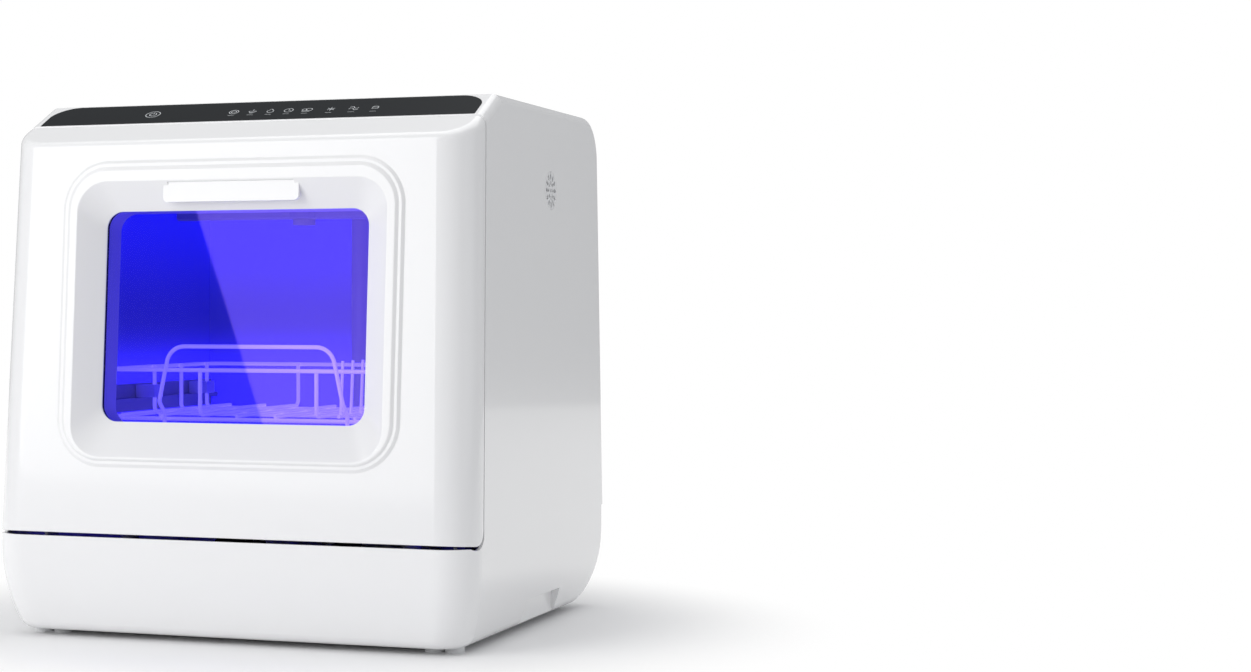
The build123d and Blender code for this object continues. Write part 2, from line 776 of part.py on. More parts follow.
def wash_tub():
    """The tub: an open box with a flange round its mouth and a well in its floor."""
    width = 2 * tub_half_width
    height = tub_ceiling - tub_floor + tub_wall
    centre = (tub_ceiling + tub_floor - tub_wall) / 2
    place = Plane(origin=(0, tub_back, centre), x_dir=(1, 0, 0), z_dir=(0, -1, 0)).location
    outer = place * extrude(RectangleRounded(width, height, tub_corner), tub_back)
    inner = place * Pos(0, 0, tub_wall) * extrude(
        RectangleRounded(width - 2 * tub_wall, height - 2 * tub_wall, tub_corner - tub_wall), tub_back)
    behind = slab(frame_back, body_depth * 2, 0, v0=-40)
    flange = opening(flange_width, frame_back, frame_back + tub_wall)
    shell = (outer & behind) + flange - inner
    shell -= post(sump_x, sump_y, tub_floor - 10, tub_floor + 5, sump_radius - 4)
    shell -= post(0, arm_centre_y, tub_floor - 10, tub_floor + 5, spindle_radius + seat_gap)
    shell -= post(0, tub_back - 12, tub_floor - 10, tub_floor + 5, feed_pipe_radius + seat_gap)
    shell += post(tank_port_x, tub_port_y, tub_floor - 12, tub_floor - 1, drain_port)
    shell -= post(tank_port_x, tub_port_y, tub_floor - 20, tub_floor + 5, drain_port - 2)
    for row in range(3):
        shell -= block(tub_half_width - 5, tub_half_width + 5, fan_y - 20, fan_y + 20,
                       fan_level - 22 + row * 10, fan_level - 17 + row * 10)
    return shell


def tub_gasket():
    margin = flange_width - 1.5
    band = opening(margin, frame_back - gasket_height, frame_back)
    hollow = opening(margin - gasket_width, frame_back - 20, frame_back + 10)
    lips = opening(margin - gasket_width + 2.5, frame_back - gasket_height - 1, frame_back - gasket_height + 1)
    return band - hollow - lips


def rack_rail(side):
    """A guide moulded on the tub's side for the rack's runners."""
    x0, x1 = sorted((side * (tub_inner - 9), side * tub_inner))
    ledge = block(x0, x1, 52, tub_back - tub_wall - 2, runner_level - 4 - seat_gap, runner_level - seat_gap)
    x0, x1 = sorted((side * (tub_inner - 2.5), side * tub_inner))
    web = block(x0, x1, 52, tub_back - tub_wall - 2, runner_level - 12, runner_level + 12)
    return ledge + web


def spray_arm(level):
    """A flat two-bladed spray arm with nozzle slots, bored for its spindle."""
    hub = 14.0
    blade = Polygon((-hub, -11), (arm_reach - 8, -7), (arm_reach - 8, 7), (-hub, 11), align=None)
    blade += Pos(arm_reach - 8, 0) * Circle(7)
    outline = blade + Rot(0, 0, 180) * blade + Circle(hub)
    body = extrude(outline, arm_thickness)
    edges = body.edges().group_by(Axis.Z)[-1] + body.edges().group_by(Axis.Z)[0]
    body = chamfer(edges, 1.6)
    for i in range(5):
        x = 28 + i * 19
        slot = Rot(0, 0, 20) * Box(7, 1.8, 3)
        body -= Pos(x, 0, arm_thickness) * slot
        body -= Pos(-x, 0, arm_thickness) * slot
    return Pos(0, arm_centre_y, level) * body


def lower_spray_arm():
    bore = post(0, arm_centre_y, lower_arm_level - 5, lower_arm_level + 20, spindle_radius + pin_fit)
    return spray_arm(lower_arm_level) - bore


def upper_spray_arm():
    flipped = Pos(0, arm_centre_y, upper_arm_level) * Rot(180, 0, 0) * Pos(0, -arm_centre_y, 0)
    body = flipped * spray_arm(-arm_thickness)
    bore = post(0, arm_centre_y, upper_arm_level - 5, upper_arm_level + 20, spindle_radius + pin_fit)
    return body - bore


def lower_spindle():
    """The lower arm's hollow post, standing through the tub floor."""
    top = lower_arm_level + arm_thickness + seat_gap
    body = post(0, arm_centre_y, manifold_level, top, spindle_radius)
    body += post(0, arm_centre_y, tub_floor, lower_arm_level - seat_gap, spindle_flange)
    y0, y1, z = arm_centre_y - 14, arm_centre_y + manifold_reach, manifold_level
    body += block(-14, 14, y0, y1, z - 10, z + 10)
    body += rod((13, arm_centre_y, z), (26, arm_centre_y, z), port_radius)
    body -= post(0, arm_centre_y, z, top - 3, spindle_radius - 2.5)
    body -= rod((0, arm_centre_y, z), (30, arm_centre_y, z), port_bore)
    return body - rod((0, arm_centre_y, z), (0, y1 + 5, z), port_bore)


def upper_spindle():
    low = upper_arm_level - seat_gap
    body = post(0, arm_centre_y, low, tub_ceiling - tub_wall, spindle_radius)
    body += post(0, arm_centre_y, upper_arm_level + arm_thickness + seat_gap,
                 tub_ceiling - tub_wall, spindle_flange)
    pipe_level = tub_ceiling - tub_wall - 2 - feed_pipe_radius
    body -= rod((0, arm_centre_y, pipe_level), (0, arm_centre_y + 20, pipe_level),
                feed_pipe_radius + 0.05)
    return body


def arm_nuts():
    top = lower_arm_level + arm_thickness + seat_gap
    low = upper_arm_level - seat_gap
    return [post(0, arm_centre_y, top, top + 5, 10), post(0, arm_centre_y, low - 5, low, 10)]


def feed_pipe():
    """The pipe that climbs the tub's back and runs under its ceiling to the upper arm."""
    level = tub_ceiling - tub_wall - 2 - feed_pipe_radius
    back = tub_back - 12
    points = [(0, arm_centre_y + manifold_reach, manifold_level), (0, back, manifold_level),
              (0, back, level), (0, arm_centre_y + 4, level)]
    return bent_tube(points, 18, feed_pipe_radius, feed_pipe_radius - 1.8)


def tub_lamp():
    """The lamp's lens on the tub ceiling, near the door."""
    lens = block(-34, 34, 84, 100, tub_ceiling - tub_wall - 6, tub_ceiling - tub_wall)
    return fillet(lens.edges().filter_by(Axis.Z), 5)


def sump():
    """The well below the tub floor, with ports for the pumps."""
    low = tub_floor - tub_wall - sump_depth
    body = ring(sump_x, sump_y, low, tub_floor - tub_wall, sump_radius, sump_radius - 2.5)
    body += post(sump_x, sump_y, low, low + 2.5, sump_radius)
    for side in (-1, 1):
        near, far = sump_x + side * (sump_radius - 1), sump_x + side * (sump_radius + 12)
        body += rod((near, sump_y, sump_port_level), (far, sump_y, sump_port_level), port_radius)
        near = sump_x + side * (sump_radius - 6)
        body -= rod((near, sump_y, sump_port_level), (far + side, sump_y, sump_port_level), port_bore)
    return body


def filter_plate():
    """The flat strainer round the filter basket."""
    plate = ring(sump_x, sump_y, tub_floor, tub_floor + 1.6, sump_radius + 6, filter_radius + 1)
    holes = []
    for i in range(24):
        angle = radians(i * 15)
        holes.append(post(sump_x + 39.5 * cos(angle), sump_y + 39.5 * sin(angle),
                          tub_floor - 1, tub_floor + 3, 2.2))
    return plate - holes


def filter_basket():
    """The round basket that lifts out of the sump after a part turn."""
    low = tub_floor - tub_wall - sump_depth + 4
    top = tub_floor + 2.2
    body = ring(sump_x, sump_y, low, top, filter_radius, filter_radius - filter_wall)
    body += post(sump_x, sump_y, low, low + 2, filter_radius)
    body += ring(sump_x, sump_y, top, top + 2, filter_radius + 4, filter_radius - filter_wall)
    bar = block(sump_x - filter_radius, sump_x + filter_radius, sump_y - 3, sump_y + 3, top - 6, top + 7)
    body += bar & post(sump_x, sump_y, low, top + 7, filter_radius)
    slots = []
    for i in range(12):
        slot = Pos(sump_x, sump_y, (low + top) / 2 - 2) * Rot(0, 0, 15 + i * 30) * Pos(
            filter_radius, 0, 0) * Box(8, 5, top - low - 12)
        slots.append(slot)
    return body - slots


def rack_frame():
    """The welded wire basket: two closed rims, U-shaped wires inside them, thin floor wires."""
    half, front, back = rack_half_width, rack_front, rack_back
    weld = 2 * wire - weld_bite
    wires = []
    for level in (rack_floor, rack_rim):
        path = FilletPolyline((-half, front, level), (half, front, level), (half, back, level),
                              (-half, back, level), radius=rack_corner, close=True)
        wires.append(sweep(Plane(origin=path @ 0, z_dir=path % 0) * Circle(wire), path=path))
    top = rack_rim + wire
    for y in rack_cross_y:
        x = half - weld
        ends = [(-x, y, top), (-x, y, rack_floor), (x, y, rack_floor), (x, y, top)]
        wires.append(bent_wire(ends, 6, wire))
    level = rack_floor + weld
    for x in rack_long_x:
        ends = [(x, front + weld, top), (x, front + weld, level), (x, back - weld, level),
                (x, back - weld, top)]
        wires.append(bent_wire(ends, 6, wire))
    for x in rack_thin_x:
        wires.append(rod((x, front - 1, thin_level), (x, back + 1, thin_level), thin_wire))
    return wires


def plate_combs():
    """Two rows of plate tines, each welded upright on its own carrier wire."""
    foot = thin_level + thin_wire - 0.04
    combs = []
    for x in comb_x:
        combs.append(rod((x, rack_front + 18, thin_level), (x, rack_back - 22, thin_level), thin_wire))
        for i in range(tine_count):
            y = rack_front + 23 + i * tine_pitch
            combs.append(rod((x, y, foot), (x, y + 5, thin_level + tine_height), thin_wire - 0.1))
    return combs


def rack_hoop():
    """The hoop at the front that the rack is pulled by."""
    y = rack_front - hoop_offset
    foot = rack_front - 2 * wire + weld_bite
    half = [(hoop_foot, foot, rack_floor - 4), (hoop_foot, foot, rack_floor + 5),
            (hoop_foot, y, rack_floor + 15), (hoop_half_width, y, hoop_top)]
    points = half + [(-x, y, z) for x, y, z in reversed(half)]
    return bent_wire(points, [4, 5, 16, 16, 5, 4], wire)


def rack_runners():
    blocks = []
    for side in (-1, 1):
        for y in runner_y:
            upright = side * (rack_half_width - 2 * wire + weld_bite)
            x0, x1 = sorted((upright - side * 4, side * (tub_inner - 3.2)))
            body = block(x0, x1, y - 9, y + 9, runner_level, runner_level + 11)
            hole = rod((upright, y, runner_level - 5), (upright, y, runner_level + 20), wire + 0.05)
            blocks.append(body - hole)
    return blocks


def water_tank():
    y0 = tub_back + tank_gap
    y1 = y0 + tank_depth
    outer = block(-tank_half_width, tank_half_width, y0, y1, tub_floor + 4, tub_ceiling + 8)
    outer = fillet(outer.edges().filter_by(Axis.Y), 14)
    outer = fillet(outer.edges().filter_by(Axis.X), 5)
    t = tank_wall
    inner = block(-tank_half_width + t, tank_half_width - t, y0 + t, y1 - t, tub_floor + 4 + t,
                  tub_ceiling + 8 - t)
    inner = fillet(inner.edges().filter_by(Axis.Y), 11)
    tank = outer - inner
    neck_y = y0 + 12
    tank += post(fill_x, neck_y, tub_ceiling + 8 - t, tub_ceiling + 16, 9)
    tank -= post(fill_x, neck_y, tub_ceiling, tub_ceiling + 20, 6)
    tank += post(tank_port_x, tank_port_y, tub_floor - 8, tub_floor + 4 + t, drain_port)
    tank -= post(tank_port_x, tank_port_y, tub_floor - 10, tub_floor + 10, drain_port - 2)
    side_y = body_depth - 28
    nipple = [(tank_half_width - 1, side_y, tank_side_level), (tank_half_width + 9, side_y, tank_side_level)]
    tank += rod(*nipple, drain_port - 2)
    tank -= rod((tank_half_width - 5, side_y, tank_side_level), (tank_half_width + 20, side_y, tank_side_level),
                drain_port - 3.5)
    return tank


def wash_pump():
    """The motor and the hollow volute round its impeller."""
    y, z = pump_y, pump_level
    volute = rod((-52, y, z), (-18, y, z), volute_radius)
    volute -= rod((-49, y, z), (-21, y, z), volute_radius - 3)
    volute -= rod((-60, y, z), (-45, y, z), 5)
    volute += rod((-19, y, z), (0, y, z), port_radius)
    volute -= rod((-30, y, z), (5, y, z), port_bore)
    motor = rod((-116, y, z), (-52, y, z), 27)
    motor -= rod((-75, y, z), (-40, y, z), 4 + pin_fit)
    saddle = block(-108, -60, y - 18, y + 18, foot_height + wall, z - 20)
    outlet = rod((-35, y - 40, z), (-35, y - 28, z), port_radius)
    outlet -= rod((-35, y - 50, z), (-35, y - 25, z), port_bore)
    return volute + motor + outlet + (saddle - rod((-130, y, z), (-50, y, z), 26))


def pump_impeller():
    y, z = pump_y, pump_level
    body = rod((-38, y, z), (-35, y, z), impeller_radius)
    body += rod((-70, y, z), (-26, y, z), 4)
    for i in range(6):
        blade = Pos(-31.5, y, z) * Rot(60 * i, 0, 0) * Pos(0, 12, 0) * Rot(25, 0, 0) * Box(8, 17, 2)
        body += blade
    return body


def flow_heater():
    """The heater in the pressure line, on its saddle."""
    y, z = heater_y, pump_level
    body = rod((14, y, z), (112, y, z), 17)
    body += rod((0, y, z), (126, y, z), port_radius)
    body += block(24, 102, y - 12, y + 12, foot_height + wall, z)
    return body


def drain_pump():
    x, y, z = drain_pump_x, sump_y, drain_pump_level
    body = rod((x, y - 12, z), (x, y + 12, z), 19)
    body += rod((x, y - 56, z), (x, y - 12, z), 15)
    body += rod((x, y, z), (x, y, z + 28), port_radius)
    body += rod((x, y, z), (x, y + 26, z), drain_port)
    body += block(x - 9, x + 9, y - 50, y + 10, foot_height + wall, z)
    return body


def hose(points, bend, radius):
    """A rubber hose, its bore clear of the ports that it slips over."""
    return bent_tube(points, bend, radius + seat_gap + hose_wall, radius + seat_gap)


def sump_hose():
    """From the sump's port to the wash pump's inlet."""
    x, z = 24.0, sump_port_level
    points = [(sump_x - sump_radius - 1, sump_y, z), (x, sump_y, z), (x, sump_y - 40, z - 24),
              (x, pump_y, pump_level), (-11, pump_y, pump_level)]
    return hose(points, [16, 14, 16], port_radius)


def heater_hose():
    """From the wash pump's outlet to the heater."""
    points = [(-35, pump_y - 34, pump_level), (-35, heater_y, pump_level), (11, heater_y, pump_level)]
    return hose(points, 16, port_radius)


def pressure_hose():
    """From the heater to the port below the lower spindle."""
    right = drain_pump_x - 15
    points = [(114, heater_y, pump_level), (right, heater_y, pump_level),
              (right, arm_centre_y, manifold_level), (15, arm_centre_y, manifold_level)]
    return hose(points, 16, port_radius)


def sump_drain_hose():
    """From the sump to the drain pump."""
    x, z = drain_pump_x, sump_port_level
    points = [(sump_x + sump_radius + 1, sump_y, z), (x, sump_y, z), (x, sump_y, drain_pump_level + 20)]
    return hose(points, 14, port_radius)


def drain_hose():
    """From the drain pump to the spigot at the back."""
    x, z, back = drain_pump_x, drain_pump_level, body_depth - 31
    points = [(x, sump_y + 14, z), (x, back, z), (drain_x, back, z), (drain_x, back, fitting_level),
              (drain_x, back + 19, fitting_level)]
    return hose(points, [14, 12, 9.5], drain_port)


def tank_hose():
    """From the tank's foot up through the tub floor."""
    low = 74.0
    points = [(tank_port_x, tank_port_y, tub_floor - 10), (tank_port_x, tank_port_y, low),
              (tank_port_x, tub_port_y, low), (tank_port_x, tub_port_y, tub_floor - tub_wall - 1)]
    return hose(points, 14, drain_port)


def fill_hose():
    """From the inlet valve up to the tank's side."""
    x, y = tank_half_width + 18, body_depth - 28
    points = [(inlet_x + 18, y, fitting_level), (x, y, fitting_level), (x, y, tank_side_level),
              (tank_half_width + 1, y, tank_side_level)]
    return hose(points, [12, 9], drain_port - 2)


def fan_housing():
    """The drying fan's case on the tub's right side, open to the vent and the tub."""
    x0, x1 = tub_half_width, half_width - (fan_level - seam_height) * tan(radians(side_draft)) - wall - 1
    y, z = fan_y, fan_level
    case = rod((x0 + 6, y, z), (x1 - 1, y, z), fan_radius)
    case -= rod((x0 + 8, y, z), (x1 + 5, y, z), fan_radius - 2)
    case += block(x0, x0 + 8, y - 26, y + 26, z - 26, z + 13)
    case -= block(x0 - 1, x0 + 12, y - 22, y + 22, z - 23, z + 10)
    for angle in (0, 90):
        case += Pos(x0 + 7, y, z) * Rot(angle + 45, 0, 0) * Box(2, 2 * fan_radius - 3, 7)
    case += rod((x0 + 6, y, z), (x0 + 9.5, y, z), 7)
    case -= rod((x0 + 3, y, z), (x0 + 20, y, z), 2.5 + pin_fit)
    return case


def fan_rotor():
    """The fan's wheel: a back disc, a hub on its shaft and a ring of curved blades."""
    x0 = tub_half_width
    y, z = fan_y, fan_level
    body = rod((x0 + 6.5, y, z), (x0 + 30, y, z), 2.5)
    body += rod((x0 + 10, y, z), (x0 + 12, y, z), rotor_radius)
    body += rod((x0 + 10, y, z), (x0 + 26, y, z), 8)
    blades = []
    for i in range(14):
        blades.append(Pos(x0 + 19, y, z) * Rot(360 * i / 14, 0, 0) * Pos(0, rotor_radius - 4, 0)
                      * Rot(35, 0, 0) * Box(15, 7, 1.4))
    return body + blades


def main_board():
    """The power board on two rails at the left of the base."""
    left = 24 - half_width
    right = left + 46
    board = block(left, right, 130, 250, 28, 29.6)
    board += block(left, left + 4, 130, 250, foot_height + wall + 4, 28)
    board += block(right - 4, right, 130, 250, foot_height + wall, 28)
    for y in (146.0, 176.0, 214.0):
        board += block(left + 10, left + 32, y, y + 18, 29.6, 42)
    return board


def inlet_valve():
    """The solenoid valve behind the inlet."""
    y = body_depth - 28
    body = block(inlet_x - 14, inlet_x + 14, y - 16, body_depth - wall - 8, fitting_level - 13,
                 fitting_level + 13)
    body += rod((inlet_x - 14, y, fitting_level), (inlet_x - 36, y, fitting_level), 9)
    body += rod((inlet_x + 14, y, fitting_level), (inlet_x + 28, y, fitting_level), drain_port - 2)
    return body


def rear_spigot(x, radius, thread, inner, inward=8.0):
    """A hose fitting that stands out of the base's back on a flange."""
    end = body_depth + rear_reach
    body = rod((x, body_depth - wall - 8, fitting_level), (x, end, fitting_level), radius - 0.1)
    body += rod((x, body_depth, fitting_level), (x, body_depth + 2.5, fitting_level), radius + 3)
    body += rod((x, body_depth + 2.5, fitting_level), (x, end, fitting_level), thread)
    if inward > 8:
        body += rod((x, body_depth - wall - inward, fitting_level), (x, body_depth, fitting_level), drain_port)
    return body - rod((x, body_depth - 30, fitting_level), (x, end + 5, fitting_level), inner)


def inlet_fitting():
    return rear_spigot(inlet_x, inlet_radius, inlet_radius, 8.0)


def drain_spigot():
    return rear_spigot(drain_x, drain_radius, drain_radius, 5.5, 18.0)


def cord_gland():
    """The strain-relief bush where the mains lead enters."""
    body = rod((gland_x, body_depth - wall - 8, fitting_level), (gland_x, body_depth, fitting_level), 8.9)
    body += rod((gland_x, body_depth, fitting_level), (gland_x, body_depth + 3, fitting_level), 12)
    body += rod((gland_x, body_depth + 3, fitting_level), (gland_x, body_depth + 9, fitting_level), 8)
    return body - rod((gland_x, body_depth - 20, fitting_level), (gland_x, body_depth + 20, fitting_level), 3.6)


def rear_screws():
    rise = body_height / 2 - 89
    spots = [(side * (half_width - 42), rear_plate_centre + step * rise) for side in (-1, 1)
             for step in (-1, 0, 1)]
    return [rod((x, body_depth + 2, z), (x, body_depth + 4, z), 4) for x, z in spots]


sub_parts = {
    "base_housing": base_housing,
    "front_feet": front_feet,
    "rear_feet": rear_feet,
    "upper_housing": upper_housing,
    "rear_panel": rear_panel,
    "rear_screws": rear_screws,
    "control_glass": control_glass,
    "touch_board": touch_board,
    "side_vent": side_vent,
    "fill_lid": fill_lid,
    "lid_pin": lid_pin,
    "fill_funnel": fill_funnel,
    "door_panel": door_panel,
    "door_window": door_window,
    "window_gasket": window_gasket,
    "door_liner": door_liner,
    "detergent_cup": detergent_cup,
    "door_handle": door_handle,
    "door_strike": door_strike,
    "hinge_cheeks": hinge_cheeks,
    "door_screws": door_screws,
    "hinge_arms": lambda: [hinge_arm(-1), hinge_arm(1)],
    "hinge_pins": hinge_pins,
    "door_catch": door_catch,
    "wash_tub": wash_tub,
    "tub_gasket": tub_gasket,
    "tub_lamp": tub_lamp,
    "rack_rails": lambda: [rack_rail(-1), rack_rail(1)],
    "lower_spray_arm": lower_spray_arm,
    "upper_spray_arm": upper_spray_arm,
    "lower_spindle": lower_spindle,
    "upper_spindle": upper_spindle,
    "arm_nuts": arm_nuts,
    "feed_pipe": feed_pipe,
    "sump": sump,
    "filter_plate": filter_plate,
    "filter_basket": filter_basket,
    "rack_frame": rack_frame,
    "plate_combs": plate_combs,
    "rack_hoop": rack_hoop,
    "rack_runners": rack_runners,
    "water_tank": water_tank,
    "wash_pump": wash_pump,
    "pump_impeller": pump_impeller,
    "flow_heater": flow_heater,
    "drain_pump": drain_pump,
    "fan_housing": fan_housing,
    "fan_rotor": fan_rotor,
    "main_board": main_board,
    "sump_hose": sump_hose,
    "heater_hose": heater_hose,
    "pressure_hose": pressure_hose,
    "sump_drain_hose": sump_drain_hose,
    "drain_hose": drain_hose,
    "tank_hose": tank_hose,
    "fill_hose": fill_hose,
    "inlet_valve": inlet_valve,
    "inlet_fitting": inlet_fitting,
    "drain_spigot": drain_spigot,
    "cord_gland": cord_gland,
}

to_origin = Pos(0, -overall_depth / 2, 0)


def export_all():
    os.makedirs("parts", exist_ok=True)
    for name, make in sub_parts.items():
        shape = make()
        solids = shape if isinstance(shape, list) else [shape]
        placed = [to_origin * solid for piece in solids for solid in piece.solids()]
        export_step(placed[0] if len(placed) == 1 else Compound(children=placed), f"parts/{name}.step")


if __name__ == "__main__":
    export_all()
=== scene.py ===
from math import cos, radians, sin

import bmesh
import bpy
from mathutils import Matrix, Vector


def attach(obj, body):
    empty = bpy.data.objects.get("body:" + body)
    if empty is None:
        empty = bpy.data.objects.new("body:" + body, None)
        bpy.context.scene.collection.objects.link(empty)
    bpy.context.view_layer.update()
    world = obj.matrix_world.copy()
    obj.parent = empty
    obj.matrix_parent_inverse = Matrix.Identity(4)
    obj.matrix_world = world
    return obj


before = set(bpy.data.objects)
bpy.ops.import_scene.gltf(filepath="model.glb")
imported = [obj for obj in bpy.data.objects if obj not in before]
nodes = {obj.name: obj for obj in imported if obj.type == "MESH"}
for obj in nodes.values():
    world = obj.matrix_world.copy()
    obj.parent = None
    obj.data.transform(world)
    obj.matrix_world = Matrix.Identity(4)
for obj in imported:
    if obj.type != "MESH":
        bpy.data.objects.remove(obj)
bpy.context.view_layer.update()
print("frame loaded:", len(nodes), "nodes")


# finishes that need no pattern, one entry for each material
coatRough = 0.06
finishes = {
    "glossWhite": {"color": (0.90, 0.90, 0.905), "rough": 0.22, "coat": 0.5},
    "satinWhite": {"color": (0.80, 0.805, 0.815), "rough": 0.42},
    "panelGlass": {"color": (0.012, 0.014, 0.016), "rough": 0.30, "specular": 0.04},
    "tubGrey": {"color": (0.34, 0.36, 0.42), "rough": 0.35},
    "brushedSteel": {"color": (0.62, 0.62, 0.63), "rough": 0.32, "metal": 1.0},
    "zincSheet": {"color": (0.52, 0.53, 0.54), "rough": 0.45, "metal": 0.85},
    # rack wires get a faint lavender emission: painted lamp light on the wires, they are no lamp
    "coatedWire": {"color": (0.78, 0.77, 0.86), "rough": 0.25, "coat": 0.4, "paintedLight": (0.5, 0.42, 0.9),
                   "paintedLightStrength": 0.6},
    "blackRubber": {"color": (0.018, 0.018, 0.02), "rough": 0.7},
    "greyRubber": {"color": (0.10, 0.10, 0.11), "rough": 0.6},
    "blackPlastic": {"color": (0.02, 0.02, 0.022), "rough": 0.5},
    "milkyPlastic": {"color": (0.72, 0.75, 0.78), "rough": 0.3, "clear": 0.35},
    "boardGreen": {"color": (0.012, 0.09, 0.035), "rough": 0.5},
}


def makeFinish(name, look):
    material = bpy.data.materials.new(name)
    material.use_nodes = True
    shader = material.node_tree.nodes["Principled BSDF"]
    shader.inputs["Base Color"].default_value = (*look["color"], 1)
    shader.inputs["Roughness"].default_value = look["rough"]
    shader.inputs["Metallic"].default_value = look.get("metal", 0)
    shader.inputs["Coat Weight"].default_value = look.get("coat", 0)
    shader.inputs["Coat Roughness"].default_value = coatRough
    shader.inputs["Specular IOR Level"].default_value = look.get("specular", 0.5)
    shader.inputs["Transmission Weight"].default_value = look.get("clear", 0)
    # emission here is painted light, used only where a finish asks for it
    shader.inputs["Emission Color"].default_value = (*look.get("paintedLight", (1, 1, 1)), 1)
    shader.inputs["Emission Strength"].default_value = look.get("paintedLightStrength", 0)
    return material


materials = {name: makeFinish(name, look) for name, look in finishes.items()}


# door glass: tinted blue as painted lamp light, with a painted reflection that makes it paler and faintly
# glowing right of a slanting edge
windowLook = {"paintedLampBlue": (0.40, 0.36, 1.0), "paintedReflection": (0.60, 0.52, 1.0), "paintedReflectionGlow": (0.045, 0.028, 0.16),
              "rough": 0.02, "bend": 1.1, "edge": 0.0943, "slant": 0.3707, "soft": 0.001}


def makeWindowGlass():
    material = bpy.data.materials.new("windowGlass")
    material.use_nodes = True
    shader = material.node_tree.nodes["Principled BSDF"]
    shader.inputs["Roughness"].default_value = windowLook["rough"]
    shader.inputs["Transmission Weight"].default_value = 1
    shader.inputs["IOR"].default_value = windowLook["bend"]
    tree = material.node_tree
    place = tree.nodes.new("ShaderNodeTexCoord")
    across = tree.nodes.new("ShaderNodeVectorMath")
    across.operation = "DOT_PRODUCT"
    across.inputs[1].default_value = (1, 0, windowLook["slant"])
    side = tree.nodes.new("ShaderNodeMapRange")
    side.inputs["From Min"].default_value = windowLook["edge"] - windowLook["soft"]
    side.inputs["From Max"].default_value = windowLook["edge"] + windowLook["soft"]
    tree.links.new(place.outputs["Object"], across.inputs[0])
    tree.links.new(across.outputs["Value"], side.inputs["Value"])
    # left colours are the painted blue lamp light, right colours the painted reflection (paler tint and
    # faint emission)
    for socket, left, right in (("Base Color", windowLook["paintedLampBlue"], windowLook["paintedReflection"]),
                                ("Emission Color", (0, 0, 0), windowLook["paintedReflectionGlow"])):
        shade = tree.nodes.new("ShaderNodeMix")
        shade.data_type = "RGBA"
        shade.inputs[6].default_value = (*left, 1)
        shade.inputs[7].default_value = (*right, 1)
        tree.links.new(side.outputs["Result"], shade.inputs[0])
        tree.links.new(shade.outputs[2], shader.inputs[socket])
    shader.inputs["Emission Strength"].default_value = 1
    return material


materials["windowGlass"] = makeWindowGlass()

# painted lamp light: tub walls glow blue as if lit by the lamp, brightest high up, darkest half way down,
# and only inside
tubGlow = {"base": (0.16, 0.17, 0.30), "top": (0.0, 0.0, 0.60), "middle": (0.0, 0.0, 0.24),
           "foot": (0.05, 0.03, 0.95), "strength": 1.0, "low": 0.10, "high": 0.39, "rough": 0.35,
           "footStop": 0.36, "middleStop": 0.56, "topStop": 0.88,
           "inside": {"X": (-0.1565, 0.1565), "Y": (-1.0, 0.1235), "Z": (0.1055, 0.3865)}}


def insideMask(tree, split, limits):
    mask = None
    for axis, ends in limits.items():
        for end, test in zip(ends, ("GREATER_THAN", "LESS_THAN")):
            compare = tree.nodes.new("ShaderNodeMath")
            compare.operation = test
            compare.inputs[1].default_value = end
            tree.links.new(split.outputs[axis], compare.inputs[0])
            if mask is None:
                mask = compare
                continue
            both = tree.nodes.new("ShaderNodeMath")
            both.operation = "MULTIPLY"
            tree.links.new(mask.outputs["Value"], both.inputs[0])
            tree.links.new(compare.outputs["Value"], both.inputs[1])
            mask = both
    return mask


def makeLitTub():
    material = makeFinish("litTub", {"color": tubGlow["base"], "rough": tubGlow["rough"]})
    tree = material.node_tree
    shader = tree.nodes["Principled BSDF"]
    place = tree.nodes.new("ShaderNodeTexCoord")
    split = tree.nodes.new("ShaderNodeSeparateXYZ")
    level = tree.nodes.new("ShaderNodeMapRange")
    level.inputs["From Min"].default_value = tubGlow["low"]
    level.inputs["From Max"].default_value = tubGlow["high"]
    shade = tree.nodes.new("ShaderNodeValToRGB")
    shade.color_ramp.interpolation = "EASE"
    shade.color_ramp.elements[0].color = (*tubGlow["foot"], 1)
    shade.color_ramp.elements[0].position = tubGlow["footStop"]
    shade.color_ramp.elements[1].color = (*tubGlow["top"], 1)
    shade.color_ramp.elements[1].position = tubGlow["topStop"]
    shade.color_ramp.elements.new(tubGlow["middleStop"]).color = (*tubGlow["middle"], 1)
    tree.links.new(place.outputs["Object"], split.inputs["Vector"])
    tree.links.new(split.outputs["Z"], level.inputs["Value"])
    tree.links.new(level.outputs["Result"], shade.inputs["Fac"])
    mask = insideMask(tree, split, tubGlow["inside"])
    lit = tree.nodes.new("ShaderNodeVectorMath")
    lit.operation = "SCALE"
    tree.links.new(shade.outputs["Color"], lit.inputs[0])
    tree.links.new(mask.outputs["Value"], lit.inputs["Scale"])
    tree.links.new(lit.outputs["Vector"], shader.inputs["Emission Color"])
    shader.inputs["Emission Strength"].default_value = tubGlow["strength"]
    return material


materials["litTub"] = makeLitTub()

